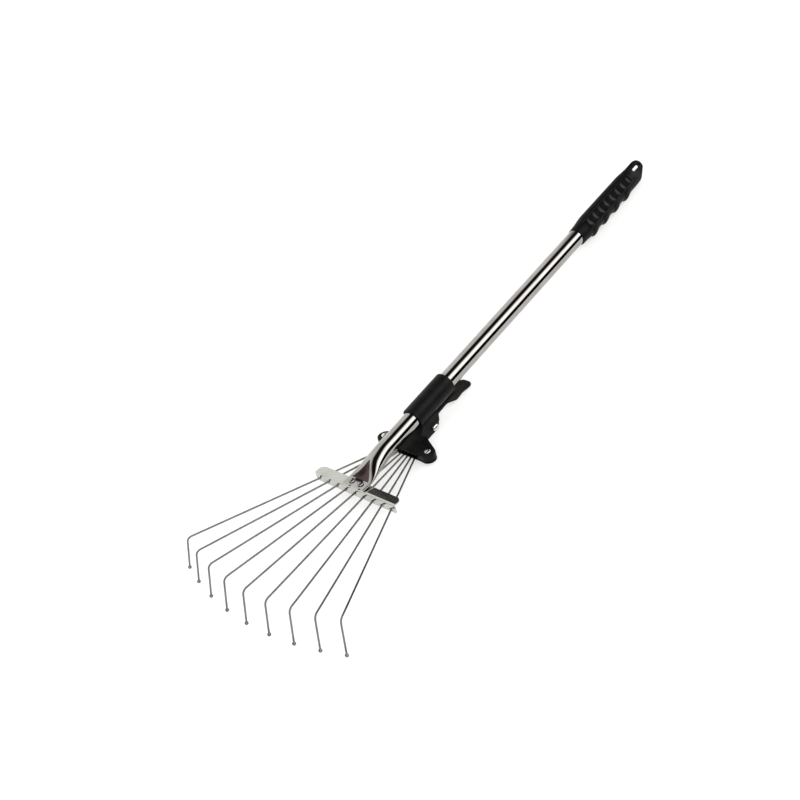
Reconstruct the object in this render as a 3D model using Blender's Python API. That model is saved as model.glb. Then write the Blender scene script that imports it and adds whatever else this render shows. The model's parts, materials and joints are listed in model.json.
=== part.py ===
"""Adjustable leaf rake: a chromed tube handle with a spreader bracket, nine wire tines, and a
sliding tine holder that a cam lever clamps to the tube.

Frames (metres). The rake lies prongs down, +Z up, +Y from the tines to the hand grip, and the
origin is below the middle of its bounding box, on the surface it rests on.
- rake_frame: origin on the tube's axis above the spreader bracket, +Y along the tube.
- fan_frame: the plane that the tines spread in, origin at the bracket's middle slot.
"""

import math

import bmesh
import bpy
from mathutils import Matrix, Vector

# Tube handle and the angle that the fan of tines makes with it
TUBE_RADIUS = 0.011
TUBE_WALL = 0.0007
TUBE_TOP = 0.585
FAN_ANGLE = math.radians(9.1)
AXIS_ABOVE_FAN = 0.011
GAP = 0.0003

# Pressed flat lower end of the tube
FLAT_HALF_WIDTH = 0.0170
FLAT_HALF_THICKNESS = 0.0015
FLAT_FRONT_Y = -0.0005
FLAT_BACK_Y = 0.0120
ROUND_FROM = 0.062

# Spreader bracket: an L-section strip with nine slots
TINES = 9
OUTERMOST = TINES // 2
SLOT_PITCH = 0.0146
BRACKET_HALF_LENGTH = 0.0650
BRACKET_SHEET = 0.0015
SEAT_HALF_WIDTH = 0.0220
FLANGE_TOP_Z = 0.0075
FLANGE_BACK_Y = 0.0125
SKIRT_BOTTOM_Z = -0.0047
SLOT_HEIGHT = 0.0044
SLOT_WIDTH_MIDDLE = 0.0036
SLOT_WIDTH_STEP = 0.0008

# Rivets that hold the tube to the bracket, and the holder's two plates together
BRACKET_RIVET_X = 0.0070
BRACKET_RIVET_Y = 0.0056
HOLDER_RIVET_X = 0.0350
HOLDER_RIVET_Y = 0.0900
RIVET_SHANK_RADIUS = 0.0022
RIVET_HEAD_RADIUS = 0.0040
RIVET_HEAD_HEIGHT = 0.0022
RIVET_TAIL_RADIUS = 0.0034
RIVET_TAIL_HEIGHT = 0.0011

# Wire tines
WIRE_RADIUS = 0.0012
PIVOT_Y = 0.0900
PIVOT_PITCH = 0.00435
TINE_LENGTH = 0.2668
PRONG_LENGTH = 0.0435
PRONG_ANGLE = math.radians(74.6)
BEND_RADIUS = 0.0070
PIVOT_LEG = 0.0040
PIVOT_BEND_RADIUS = 0.0019
BALL_RADIUS = 0.0024

# Tine holder: the slider's own upper plate and a riveted lower plate
PLATE_TOP_Z = 0.0060
PLATE_SPLIT_Z = -0.0021
POCKET_TOP_Z = 0.0016
LOWER_PLATE_TOP_Z = -0.0024
LOWER_PLATE_BOTTOM_Z = -0.0046
PLATE_FRONT_Y = 0.0815
LOBE_RADIUS = 0.0092
PLATE_REAR_HALF_WIDTH = 0.0130
PLATE_REAR_Y = 0.1120
LOWER_PLATE_REAR_Y = 0.1050
PIVOT_HOLE_RADIUS = 0.00165

# Slider collar, clamp ears, brake pad and cam lever, along the tube
COLLAR_START = 0.1110
COLLAR_END = 0.1770
COLLAR_RADIUS = 0.0140
COLLAR_BORE_RADIUS = 0.01135
EAR_HALF_WIDTH = 0.0130
LEVER_SLOT_HALF_WIDTH = 0.0088
LEVER_BOSS_HALF_WIDTH = 0.0082
LEVER_BOSS_RADIUS = 0.0070
PIVOT_S = 0.1260
PIVOT_N = -0.0225
BOLT_RADIUS = 0.0020
BOLT_HEAD_RADIUS = 0.0048
BOLT_HEAD_HEIGHT = 0.0030
PAD_HALF_WIDTH = 0.0076
PAD_START = 0.1180
PAD_END = 0.1340
PAD_BOTTOM_N = -0.0152

# Hand grip, turned on the tube; its back and finger sides are measured from the tube's axis
GRIP_ROLL = math.radians(-45.0)
GRIP_START = 0.4600
GRIP_HALF_WIDTH = 0.0128
GRIP_BACK = 0.0128
GRIP_FINGERS = 0.0138
GRIP_BUMP = 0.0027
GRIP_BELLY = 0.0014
RIDGE_FIRST = 0.4786
RIDGE_PITCH = 0.0255
RIDGES = 4
RIDGE_RISE = 0.0040
RIDGE_CREST = 0.0055
RIDGE_END = 0.0185
LOOP_CENTRE = 0.6115
LOOP_OFFSET = 0.0035
LOOP_RADIUS = 0.0090
LOOP_HALF_THICKNESS = 0.0045
LOOP_SLOPE = math.radians(32.0)
THINNING_START = 0.5860
HANG_HOLE_CENTRE = 0.6073
HANG_HOLE_LENGTH = 0.0165
HANG_HOLE_WIDTH = 0.0064

# The rake rests on the lower plate's rear edge and on one finger ridge of the grip
REST_RIDGE = 3


def to_handle(y, z):
    """Fan-frame y, z as distances along and above the tube's axis."""
    rise = z - AXIS_ABOVE_FAN
    along = y * math.cos(FAN_ANGLE) + rise * math.sin(FAN_ANGLE)
    above = rise * math.cos(FAN_ANGLE) - y * math.sin(FAN_ANGLE)
    return along, above


def smooth(t):
    t = min(1.0, max(0.0, t))
    return t * t * (3.0 - 2.0 * t)


# ---------------------------------------------------------------- helpers

def material(name, colour, metallic, roughness):
    mat = bpy.data.materials.new(name)
    mat.use_nodes = True
    shader = mat.node_tree.nodes["Principled BSDF"]
    shader.inputs["Base Color"].default_value = (*colour, 1.0)
    shader.inputs["Metallic"].default_value = metallic
    shader.inputs["Roughness"].default_value = roughness
    return mat


def add_object(name, mesh, parent, mat=None):
    obj = bpy.data.objects.new(name, mesh)
    bpy.context.scene.collection.objects.link(obj)
    obj.parent = parent
    if mat:
        mesh.materials.append(mat)
    return obj


def add_empty(name, location, rotation, parent=None):
    obj = bpy.data.objects.new(name, None)
    bpy.context.scene.collection.objects.link(obj)
    obj.parent = parent
    obj.location = location
    obj.rotation_euler = rotation
    return obj


def mesh_from(bm, name, sharp_degrees=35.0):
    bmesh.ops.recalc_face_normals(bm, faces=bm.faces)
    mesh = bpy.data.meshes.new(name)
    bm.to_mesh(mesh)
    bm.free()
    mesh.shade_smooth()
    mesh.set_sharp_from_angle(angle=math.radians(sharp_degrees))
    return mesh


def loft(name, rings, parent, mat=None):
    """A closed skin through rings with equal numbers of points, with its two ends capped."""
    bm = bmesh.new()
    loops = [[bm.verts.new(p) for p in ring] for ring in rings]
    count = len(loops[0])
    for a, b in zip(loops, loops[1:]):
        for i in range(count):
            j = (i + 1) % count
            bm.faces.new((a[i], a[j], b[j], b[i]))
    bm.faces.new(list(reversed(loops[0])))
    bm.faces.new(loops[-1])
    return add_object(name, mesh_from(bm, name), parent, mat)


def ring_about(centre, u, v, radius, count):
    steps = [2.0 * math.pi * i / count for i in range(count)]
    return [centre + radius * (math.cos(t) * u + math.sin(t) * v) for t in steps]


def turned(name, origin, axis, profile, parent, mat=None, count=20):
    """A round piece from (radius, height) stations along axis."""
    w = Vector(axis).normalized()
    u = w.orthogonal().normalized()
    v = w.cross(u)
    rings = [ring_about(Vector(origin) + h * w, u, v, r, count) for r, h in profile]
    return loft(name, rings, parent, mat)


def cylinder(name, start, end, radius, parent, count=24):
    span = Vector(end) - Vector(start)
    return turned(name, start, span, [(radius, 0.0), (radius, span.length)], parent, count=count)


def prism(name, outline, plane, low, high, parent, mat=None):
    """A straight extrusion of a 2-D outline: plane "xy" extrudes along z, "yz" along x."""
    place = {"xy": lambda a, b, c: (a, b, c), "yz": lambda a, b, c: (c, a, b)}[plane]
    rings = [[place(a, b, level) for a, b in outline] for level in (low, high)]
    return loft(name, rings, parent, mat)


def box(name, low, high, parent):
    outline = [(low[0], low[1]), (high[0], low[1]), (high[0], high[1]), (low[0], high[1])]
    return prism(name, outline, "xy", low[2], high[2], parent)


def arc(centre, radius, start, end, steps):
    angles = [math.radians(start + (end - start) * i / steps) for i in range(steps + 1)]
    return [(centre[0] + radius * math.cos(t), centre[1] + radius * math.sin(t)) for t in angles]


def mirrored(half):
    """A closed outline from its right half, listed from the front middle to the rear middle."""
    return half + [(-x, y) for x, y in reversed(half) if x > 1e-9]


def combine(base, operation, tools):
    """Unite base with each tool, or cut each tool from it; the tools themselves are guides."""
    for tool in tools:
        modifier = base.modifiers.new(tool.name, "BOOLEAN")
        modifier.operation = operation
        modifier.solver = "EXACT"
        modifier.object = tool
        tool.hide_render = True
        tool.display_type = "WIRE"


def dome(radius, height, base, steps=5):
    """Stations of a rounded head that starts flat at base and rises by height."""
    angles = [0.5 * math.pi * i / steps for i in range(steps)]
    stations = [(radius * math.cos(t), base + height * math.sin(t)) for t in angles]
    return stations + [(0.12 * radius, base + height)]


# ---------------------------------------------------------------- handle

def tube_section(round_share, centre, roll, count=32):
    """One ring of the tube: round at round_share 1, pressed flat at 0."""
    flat = 1.0 - round_share
    half_width = TUBE_RADIUS + flat * (FLAT_HALF_WIDTH - TUBE_RADIUS)
    half_height = TUBE_RADIUS + flat * (FLAT_HALF_THICKNESS - TUBE_RADIUS)
    power = 2.0 / (2.0 + 2.5 * flat)
    turn = Matrix.Rotation(roll, 3, "X")
    points = []
    for i in range(count):
        t = 2.0 * math.pi * (i + 0.5) / count
        c, s = math.cos(t), math.sin(t)
        x = half_width * math.copysign(abs(c) ** power, c)
        z = half_height * math.copysign(abs(s) ** power, s)
        points.append(centre + turn @ Vector((x, 0.0, z)))
    return points


def handle_tube(frame, fan, mat):
    flat_z = FLANGE_TOP_Z + GAP + FLAT_HALF_THICKNESS
    rings = []
    for y in (FLAT_FRONT_Y, FLAT_BACK_Y):
        along, above = to_handle(y, flat_z)
        rings.append(tube_section(0.0, Vector((0.0, along, above)), -FAN_ANGLE))
    first, last = rings[-1][0].y, ROUND_FROM
    level = to_handle(FLAT_BACK_Y, flat_z)[1]
    steps = 9
    for i in range(1, steps + 1):
        t = i / steps
        share = smooth(t ** 0.8)
        centre = Vector((0.0, first + (last - first) * t, level * (1.0 - smooth(t))))
        rings.append(tube_section(share, centre, -FAN_ANGLE * (1.0 - smooth(t))))
    rings.append(tube_section(1.0, Vector((0.0, TUBE_TOP, 0.0)), 0.0))
    shrink = (TUBE_RADIUS - TUBE_WALL) / TUBE_RADIUS
    for along in (TUBE_TOP, ROUND_FROM + 0.004):
        ring = tube_section(1.0, Vector((0.0, 0.0, 0.0)), 0.0)
        rings.append([Vector((p.x * shrink, along, p.z * shrink)) for p in ring])
    tube = loft("handle_tube", rings, frame, mat)
    combine(tube, "DIFFERENCE", rivet_holes("tube_rivet_hole", BRACKET_RIVET_X, BRACKET_RIVET_Y, fan))
    return tube


def rivet_holes(name, x, y, fan):
    radius = RIVET_SHANK_RADIUS + GAP
    return [cylinder(f"{name}_{side}", (sign * x, y, -0.02), (sign * x, y, 0.03), radius, fan, 16)
            for side, sign in (("left", -1), ("right", 1))]


def rivets(name, x, y, bottom, top, fan, mat):
    """Two domed rivets; bottom and top are the faces that the pair clamps."""
    for side, sign in (("left", -1), ("right", 1)):
        under = bottom - GAP
        over = top + GAP
        profile = [(RIVET_TAIL_RADIUS * 0.8, under - RIVET_TAIL_HEIGHT),
                   (RIVET_TAIL_RADIUS, under - 0.5 * RIVET_TAIL_HEIGHT),
                   (RIVET_TAIL_RADIUS, under),
                   (RIVET_SHANK_RADIUS, under),
                   (RIVET_SHANK_RADIUS, over)]
        profile += dome(RIVET_HEAD_RADIUS, RIVET_HEAD_HEIGHT, over, 4)
        turned(f"{name}_{side}", (sign * x, y, 0.0), (0, 0, 1), profile, fan, mat, 16)


def grip_bump(along):
    """Height of the finger ridges: each is steep on its tube side and falls off gently."""
    height = 0.0
    for k in range(RIDGES):
        past = along - (RIDGE_FIRST + k * RIDGE_PITCH)
        rise = smooth(past / RIDGE_RISE)
        fall = smooth((RIDGE_END - past) / (RIDGE_END - RIDGE_CREST))
        height = max(height, rise * fall)
    return GRIP_BUMP * height


def grip_back(along):
    """The back's height above the tube's axis, with a slight belly under the palm."""
    return GRIP_BACK + GRIP_BELLY * smooth((along - 0.470) / 0.020) * smooth((0.596 - along) / 0.024)


def grip_edges(along):
    """Back and finger edges of the grip's outline, both measured towards the back."""
    past = along - LOOP_CENTRE
    tangent = LOOP_RADIUS * math.sin(LOOP_SLOPE)
    chord = math.sqrt(max(0.0, LOOP_RADIUS ** 2 - past ** 2))
    back = grip_back(along) if past < 0.0 else LOOP_OFFSET + chord
    back = min(back, grip_back(along))
    if past > tangent:
        return back, LOOP_OFFSET - chord
    nose = LOOP_OFFSET - LOOP_RADIUS * math.cos(LOOP_SLOPE) + math.tan(LOOP_SLOPE) * (past - tangent)
    return back, max(nose, -GRIP_FINGERS - grip_bump(along))


def grip_section(along, count=28):
    back, fingers = grip_edges(along)
    swell = 1.0 - 0.07 * (1.0 - smooth((along - GRIP_START) / 0.020))
    thin = smooth((along - THINNING_START) / (LOOP_CENTRE - THINNING_START))
    tip = max(0.0, (along - LOOP_CENTRE) / (LOOP_RADIUS + 0.0004))
    half_width = GRIP_HALF_WIDTH + thin * (LOOP_HALF_THICKNESS - GRIP_HALF_WIDTH)
    half_width *= swell * math.sqrt(max(0.0, 1.0 - tip ** 4))
    middle, half_height = 0.5 * (back + fingers), 0.5 * (back - fingers) * swell
    power = 2.0 / (2.15 + 0.7 * thin)
    points = []
    for i in range(count):
        t = 2.0 * math.pi * (i + 0.5) / count
        c, s = math.cos(t), math.sin(t)
        x = half_width * math.copysign(abs(c) ** power, c)
        z = middle + half_height * math.copysign(abs(s) ** power, s)
        points.append(Vector((x, along, z)))
    return points


def hand_grip(grip_frame, mat):
    end = LOOP_CENTRE + LOOP_RADIUS
    step = RIDGE_PITCH / 7
    count = int((LOOP_CENTRE - GRIP_START - 0.004) / step)
    stations = [GRIP_START] + [GRIP_START + 0.004 + step * k for k in range(count + 1)]
    stations += [end - d for d in (0.0068, 0.0048, 0.0030, 0.0016, 0.0006, 0.0001)]
    grip = loft("hand_grip", [grip_section(s) for s in stations], grip_frame, mat)
    bore = cylinder("grip_bore", (0, GRIP_START - 0.01, 0), (0, TUBE_TOP + GAP, 0),
                    TUBE_RADIUS + GAP, grip_frame, 32)
    half = 0.5 * (HANG_HOLE_LENGTH - HANG_HOLE_WIDTH)
    radius = 0.5 * HANG_HOLE_WIDTH
    outline = (arc((HANG_HOLE_CENTRE + half, LOOP_OFFSET), radius, -90, 90, 8)
               + arc((HANG_HOLE_CENTRE - half, LOOP_OFFSET), radius, 90, 270, 8))
    hole = prism("hang_hole", outline, "yz", -0.03, 0.03, grip_frame)
    combine(grip, "DIFFERENCE", [bore, hole])
    return grip


# ---------------------------------------------------------------- spreader bracket

def spreader_bracket(fan, mat):
    front, back = -0.5 * BRACKET_SHEET, 0.5 * BRACKET_SHEET
    under = FLANGE_TOP_Z - BRACKET_SHEET
    outer, inner = 0.0022, 0.0007
    section = ([(front, SKIRT_BOTTOM_Z), (back, SKIRT_BOTTOM_Z)]
               + arc((back + inner, under - inner), inner, 180, 90, 3)
               + [(FLANGE_BACK_Y, under), (FLANGE_BACK_Y, FLANGE_TOP_Z)]
               + arc((front + outer, FLANGE_TOP_Z - outer), outer, 90, 180, 4))
    cuts = (-BRACKET_HALF_LENGTH, -SEAT_HALF_WIDTH, SEAT_HALF_WIDTH, BRACKET_HALF_LENGTH)
    bracket = loft("spreader_bracket", [[(x, y, z) for y, z in section] for x in cuts], fan, mat)
    round_corners(bracket.data, lambda v: v.y > FLANGE_BACK_Y - 1e-5, 0.0055)
    round_corners(bracket.data, lambda v: v.z < SKIRT_BOTTOM_Z + 1e-5, 0.0020)
    slots = []
    for i in range(-OUTERMOST, OUTERMOST + 1):
        width = SLOT_WIDTH_MIDDLE + SLOT_WIDTH_STEP * abs(i)
        slots.append(slot_cutter(f"slot_{i + OUTERMOST + 1}", i * SLOT_PITCH, width, fan))
    combine(bracket, "DIFFERENCE", slots)
    combine(bracket, "DIFFERENCE",
            rivet_holes("bracket_rivet_hole", BRACKET_RIVET_X, BRACKET_RIVET_Y, fan))
    return bracket


def round_corners(mesh, is_corner, radius):
    """Round the outline corners of a sheet: the short edges across it that pass is_corner."""
    bm = bmesh.new()
    bm.from_mesh(mesh)
    end = BRACKET_HALF_LENGTH - 1e-5
    edges = [e for e in bm.edges
             if e.calc_length() < 1.1 * BRACKET_SHEET
             and all(abs(v.co.x) > end and is_corner(v.co) for v in e.verts)]
    bmesh.ops.bevel(bm, geom=edges, offset=radius, segments=5, profile=0.5, affect="EDGES")
    bm.to_mesh(mesh)
    bm.free()


def slot_cutter(name, x, width, fan):
    radius = 0.5 * SLOT_HEIGHT
    half = max(0.0, 0.5 * width - radius)
    if half == 0.0:
        return cylinder(name, (x, -0.005, 0), (x, 0.005, 0), radius, fan, 14)
    outline = arc((x + half, 0.0), radius, -90, 90, 6) + arc((x - half, 0.0), radius, 90, 270, 6)
    rings = [[(px, y, pz) for px, pz in outline] for y in (0.005, -0.005)]
    return loft(name, rings, fan)


# ---------------------------------------------------------------- tines

def wire_path(angle):
    """Centre line of a tine in its own frame: pivot leg down, shaft along -Y turned by angle
    about Z, and prong down. Returns (point, tangent) pairs with arcs at both bends."""
    shaft = Vector((math.sin(angle), -math.cos(angle), 0.0))
    down = Vector((0.0, 0.0, -1.0))
    prong = math.cos(PRONG_ANGLE) * shaft + math.sin(PRONG_ANGLE) * down
    path = [(down * PIVOT_LEG, -down)]
    path += fillet(Vector((0.0, 0.0, 0.0)), -down, shaft, PIVOT_BEND_RADIUS, 4)
    corner = TINE_LENGTH * shaft
    path += fillet(corner, shaft, prong, BEND_RADIUS, 6)
    path.append((corner + (PRONG_LENGTH - 2.0 * BALL_RADIUS) * prong, prong))
    return path, prong


def fillet(corner, before, after, radius, steps):
    """Points of the arc that rounds a corner between two unit directions."""
    turn = before.angle(after)
    cut = radius * math.tan(0.5 * turn)
    axis = before.cross(after).normalized()
    inward = axis.cross(before)
    centre = corner - cut * before + radius * inward
    points = []
    for k in range(steps + 1):
        rotation = Matrix.Rotation(turn * k / steps, 3, axis)
        points.append((centre + rotation @ (-radius * inward), rotation @ before))
    return points


def tine(number, fan, mat):
    """One tine, with its origin at its pivot in the holder."""
    i = number - 1 - OUTERMOST
    pivot = Vector((i * PIVOT_PITCH, PIVOT_Y, 0.0))
    angle = math.atan2(i * (SLOT_PITCH - PIVOT_PITCH), PIVOT_Y)
    path, prong = wire_path(angle)
    side = Vector((math.cos(angle), math.sin(angle), 0.0))
    rings = [ring_about(p, side, side.cross(t), WIRE_RADIUS, 10) for p, t in path]
    centre = path[-1][0] + BALL_RADIUS * prong
    steps = 6
    start = math.asin(WIRE_RADIUS / BALL_RADIUS)
    for k in range(1, steps + 1):
        t = start + (math.pi - start) * k / (steps + 0.35)
        rings.append(ring_about(centre - BALL_RADIUS * math.cos(t) * prong, side,
                                side.cross(prong), BALL_RADIUS * math.sin(t), 10))
    obj = loft(f"tine_{number}", rings, fan, mat)
    obj.location = pivot
    return obj


# ---------------------------------------------------------------- slider

def plate_outline(rear_half_width, rear_y):
    lobe = (HOLDER_RIVET_X, HOLDER_RIVET_Y)
    half = [(0.0, PLATE_FRONT_Y), (HOLDER_RIVET_X - 0.0085, PLATE_FRONT_Y)]
    half += arc(lobe, LOBE_RADIUS, -100, 62, 10)
    half += [(rear_half_width, rear_y), (0.0, rear_y)]
    return mirrored(half)


def slider_body(frame, fan, mat):
    """The moulded collar, its ears for the lever and the holder's upper plate, in one piece."""
    collar = turned("slider_body", (0, COLLAR_START, 0), (0, 1, 0),
                    [(COLLAR_RADIUS - 0.001, 0.0), (COLLAR_RADIUS, 0.001),
                     (COLLAR_RADIUS, COLLAR_END - COLLAR_START - 0.0012),
                     (COLLAR_RADIUS - 0.0012, COLLAR_END - COLLAR_START)], frame, mat, 36)
    ears = prism("slider_ears",
                 [(0.0980, -0.0215), (0.1115, -0.0090), (0.1400, -0.0090), (0.1395, -0.0150),
                  (0.1370, -0.0225)]
                 + arc((0.1270, -0.0215), 0.0085, -10, -90, 4)
                 + [(0.1130, -0.0300), (0.1000, -0.0290)],
                 "yz", -EAR_HALF_WIDTH, EAR_HALF_WIDTH, frame)
    plate = prism("slider_plate", plate_outline(PLATE_REAR_HALF_WIDTH, PLATE_REAR_Y), "xy",
                  PLATE_SPLIT_Z, PLATE_TOP_Z, fan)
    combine(collar, "UNION", [ears, plate])
    bore = cylinder("slider_bore", (0, 0.05, 0), (0, 0.2, 0), COLLAR_BORE_RADIUS, frame, 36)
    lever_slot = box("lever_slot", (-LEVER_SLOT_HALF_WIDTH, 0.1162, -0.045),
                     (LEVER_SLOT_HALF_WIDTH, 0.150, -0.0141), frame)
    window = box("pad_window", (-PAD_HALF_WIDTH - 0.0004, PAD_START - 0.0004, -0.020),
                 (PAD_HALF_WIDTH + 0.0004, PAD_END + 0.0004, -0.005), frame)
    bolt_hole = cylinder("ear_bolt_hole", (-0.02, PIVOT_S, PIVOT_N), (0.02, PIVOT_S, PIVOT_N),
                         BOLT_RADIUS + GAP, frame, 16)
    pocket = prism("tine_pocket",
                   mirrored([(0.0, PLATE_FRONT_Y - 0.010), (0.0262, PLATE_FRONT_Y - 0.010),
                             (0.0240, 0.0860), (0.0212, 0.0945), (0.0, 0.0945)]),
                   "xy", PLATE_SPLIT_Z - 0.001, POCKET_TOP_Z, fan)
    combine(collar, "DIFFERENCE", [bore, lever_slot, window, bolt_hole, pocket])
    combine(collar, "DIFFERENCE",
            rivet_holes("plate_rivet_hole", HOLDER_RIVET_X, HOLDER_RIVET_Y, fan))
    return collar


def holder_plate(fan, mat):
    """The lower plate, with a hole for the bent end of each tine."""
    share = (PLATE_REAR_Y - LOWER_PLATE_REAR_Y) / (PLATE_REAR_Y - HOLDER_RIVET_Y)
    rear = PLATE_REAR_HALF_WIDTH + share * (HOLDER_RIVET_X - PLATE_REAR_HALF_WIDTH)
    plate = prism("holder_plate", plate_outline(rear, LOWER_PLATE_REAR_Y), "xy",
                  LOWER_PLATE_BOTTOM_Z, LOWER_PLATE_TOP_Z, fan, mat)
    holes = []
    for i in range(-OUTERMOST, OUTERMOST + 1):
        x = i * PIVOT_PITCH
        holes.append(cylinder(f"pivot_hole_{i + OUTERMOST + 1}", (x, PIVOT_Y, -0.010),
                              (x, PIVOT_Y, 0.0), PIVOT_HOLE_RADIUS, fan, 12))
    combine(plate, "DIFFERENCE", holes)
    combine(plate, "DIFFERENCE",
            rivet_holes("lower_rivet_hole", HOLDER_RIVET_X, HOLDER_RIVET_Y, fan))
    return plate


def brake_pad(frame, mat):
    """The loose pad that the cam presses on the tube through the collar's window."""
    pad = box("brake_pad", (-PAD_HALF_WIDTH, PAD_START, PAD_BOTTOM_N),
              (PAD_HALF_WIDTH, PAD_END, -0.005), frame)
    pad.data.materials.append(mat)
    tube_space = cylinder("pad_tube_space", (0, PAD_START - 0.01, 0), (0, PAD_END + 0.01, 0),
                          TUBE_RADIUS + GAP, frame, 36)
    combine(pad, "DIFFERENCE", [tube_space])
    return pad


def rounded_rectangle(half_width, low, high, corner, along):
    corner = min(corner, 0.45 * (high - low))
    xs, zs = half_width - corner, (high - corner, low + corner)
    points = (arc((xs, zs[0]), corner, 0, 90, 3) + arc((-xs, zs[0]), corner, 90, 180, 3)
              + arc((-xs, zs[1]), corner, 180, 270, 3) + arc((xs, zs[1]), corner, 270, 360, 3))
    return [Vector((x, along, z)) for x, z in points]


def cam_lever(frame, mat):
    """The clamp lever under the collar, with its origin on the pivot bolt's axis."""
    stations = [  # distance along the tube, top and bottom heights, half width
        (0.1290, -0.0162, -0.0262, LEVER_BOSS_HALF_WIDTH),
        (0.1370, -0.0158, -0.0240, LEVER_BOSS_HALF_WIDTH),
        (0.1425, -0.0156, -0.0203, 0.0080),
        (0.1520, -0.0154, -0.0193, 0.0080),
        (0.1610, -0.0154, -0.0196, 0.0080),
        (0.1690, -0.0154, -0.0232, 0.0083),
        (0.1750, -0.0156, -0.0262, 0.0087),
        (0.1800, -0.0166, -0.0258, 0.0092),
        (0.1860, -0.0187, -0.0246, 0.0097),
        (0.1960, -0.0220, -0.0260, 0.0101),
        (0.2010, -0.0233, -0.0270, 0.0098),
        (0.2042, -0.0241, -0.0274, 0.0084),
        (0.2062, -0.0248, -0.0273, 0.0062),
        (0.2072, -0.0254, -0.0269, 0.0036),
    ]
    rings = [rounded_rectangle(w, low - PIVOT_N, high - PIVOT_N, 0.0015, s - PIVOT_S)
             for s, high, low, w in stations]
    lever = loft("cam_lever", rings, frame, mat)
    lever.location = (0.0, PIVOT_S, PIVOT_N)
    boss = cylinder("lever_boss", (-LEVER_BOSS_HALF_WIDTH, 0, 0), (LEVER_BOSS_HALF_WIDTH, 0, 0),
                    LEVER_BOSS_RADIUS, lever, 28)
    bore = cylinder("lever_bore", (-0.02, 0, 0), (0.02, 0, 0), BOLT_RADIUS + GAP, lever, 16)
    combine(lever, "UNION", [boss])
    combine(lever, "DIFFERENCE", [bore])
    return lever


def pivot_bolt(frame, mat):
    """The bolt through ears and lever, head on the left, and its dome nut on the right."""
    seat = EAR_HALF_WIDTH + GAP
    tip = seat + 0.0030
    profile = [(BOLT_HEAD_RADIUS * 0.35, -seat - BOLT_HEAD_HEIGHT),
               (BOLT_HEAD_RADIUS * 0.75, -seat - 0.85 * BOLT_HEAD_HEIGHT),
               (BOLT_HEAD_RADIUS, -seat - 0.45 * BOLT_HEAD_HEIGHT),
               (BOLT_HEAD_RADIUS, -seat), (BOLT_RADIUS, -seat), (BOLT_RADIUS, tip)]
    turned("pivot_bolt", (0, PIVOT_S, PIVOT_N), (1, 0, 0), profile, frame, mat, 20)
    bore = BOLT_RADIUS + GAP
    nut = [(bore, tip + GAP), (bore, seat), (BOLT_HEAD_RADIUS, seat)]
    nut += dome(BOLT_HEAD_RADIUS, BOLT_HEAD_HEIGHT + 0.0018, seat + 0.0008, 5)
    turned("pivot_nut", (0, PIVOT_S, PIVOT_N), (1, 0, 0), nut, frame, mat, 20)


# ---------------------------------------------------------------- assembly

def resting_pose():
    """Location and pitch of rake_frame for which the rake lies on its two supports."""
    rear, rear_height = to_handle(LOWER_PLATE_REAR_Y, LOWER_PLATE_BOTTOM_Z)
    ridge = RIDGE_FIRST + REST_RIDGE * RIDGE_PITCH + 0.5 * (RIDGE_RISE + RIDGE_CREST)
    roll = Matrix.Rotation(GRIP_ROLL, 3, "Y")
    ridge_height = min((roll @ p).z for p in grip_section(ridge))
    pitch = math.atan2(rear_height - ridge_height, ridge - rear)
    lift = -(rear * math.sin(pitch) + rear_height * math.cos(pitch))
    reach = PIVOT_Y - TINE_LENGTH - PRONG_LENGTH * math.cos(PRONG_ANGLE)
    tip, tip_height = to_handle(reach, -PRONG_LENGTH * math.sin(PRONG_ANGLE))
    low = tip * math.cos(pitch) - tip_height * math.sin(pitch) - BALL_RADIUS
    high = (LOOP_CENTRE + LOOP_RADIUS) * math.cos(pitch)
    return (0.0, -0.5 * (low + high), lift), pitch


def build():
    for obj in list(bpy.data.objects):
        bpy.data.objects.remove(obj, do_unlink=True)
    chrome = material("chrome", (0.78, 0.77, 0.76), 1.0, 0.12)
    plated = material("plated_sheet", (0.62, 0.63, 0.60), 1.0, 0.28)
    wire = material("polished_wire", (0.50, 0.49, 0.48), 1.0, 0.22)
    bright = material("bright_fastener", (0.70, 0.70, 0.70), 1.0, 0.2)
    black = material("black_plastic", (0.018, 0.017, 0.018), 0.0, 0.45)
    rubber = material("black_grip", (0.014, 0.014, 0.015), 0.0, 0.55)
    pad = material("pad_nylon", (0.05, 0.05, 0.05), 0.0, 0.6)

    location, pitch = resting_pose()
    frame = add_empty("rake_frame", location, (pitch, 0.0, 0.0))
    fan = add_empty("fan_frame", (0.0, *to_handle(0.0, 0.0)), (-FAN_ANGLE, 0.0, 0.0), frame)
    grip_frame = add_empty("grip_frame", (0.0, 0.0, 0.0), (0.0, GRIP_ROLL, 0.0), frame)

    handle_tube(frame, fan, chrome)
    hand_grip(grip_frame, rubber)
    spreader_bracket(fan, plated)
    flat_top = FLANGE_TOP_Z + GAP + 2.0 * FLAT_HALF_THICKNESS
    rivets("bracket_rivet", BRACKET_RIVET_X, BRACKET_RIVET_Y, FLANGE_TOP_Z - BRACKET_SHEET,
           flat_top, fan, bright)
    slider_body(frame, fan, black)
    holder_plate(fan, black)
    rivets("holder_rivet", HOLDER_RIVET_X, HOLDER_RIVET_Y, LOWER_PLATE_BOTTOM_Z, PLATE_TOP_Z,
           fan, bright)
    brake_pad(frame, pad)
    cam_lever(frame, black)
    pivot_bolt(frame, bright)
    for number in range(1, TINES + 1):
        tine(number, fan, wire)


build()
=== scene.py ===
"""Looks of the adjustable leaf rake: detailed pieces, materials, studio and camera.

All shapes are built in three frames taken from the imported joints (metres):
- rake: origin on the tube's axis above the bracket, +Y along the tube.
- fan: the plane that the tines spread in, origin at the bracket's middle slot.
- grip: the rake frame turned about the tube, as the hand grip is.
"""

import json
import math

import bmesh
import bpy
from mathutils import Euler, Matrix, Vector


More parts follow.
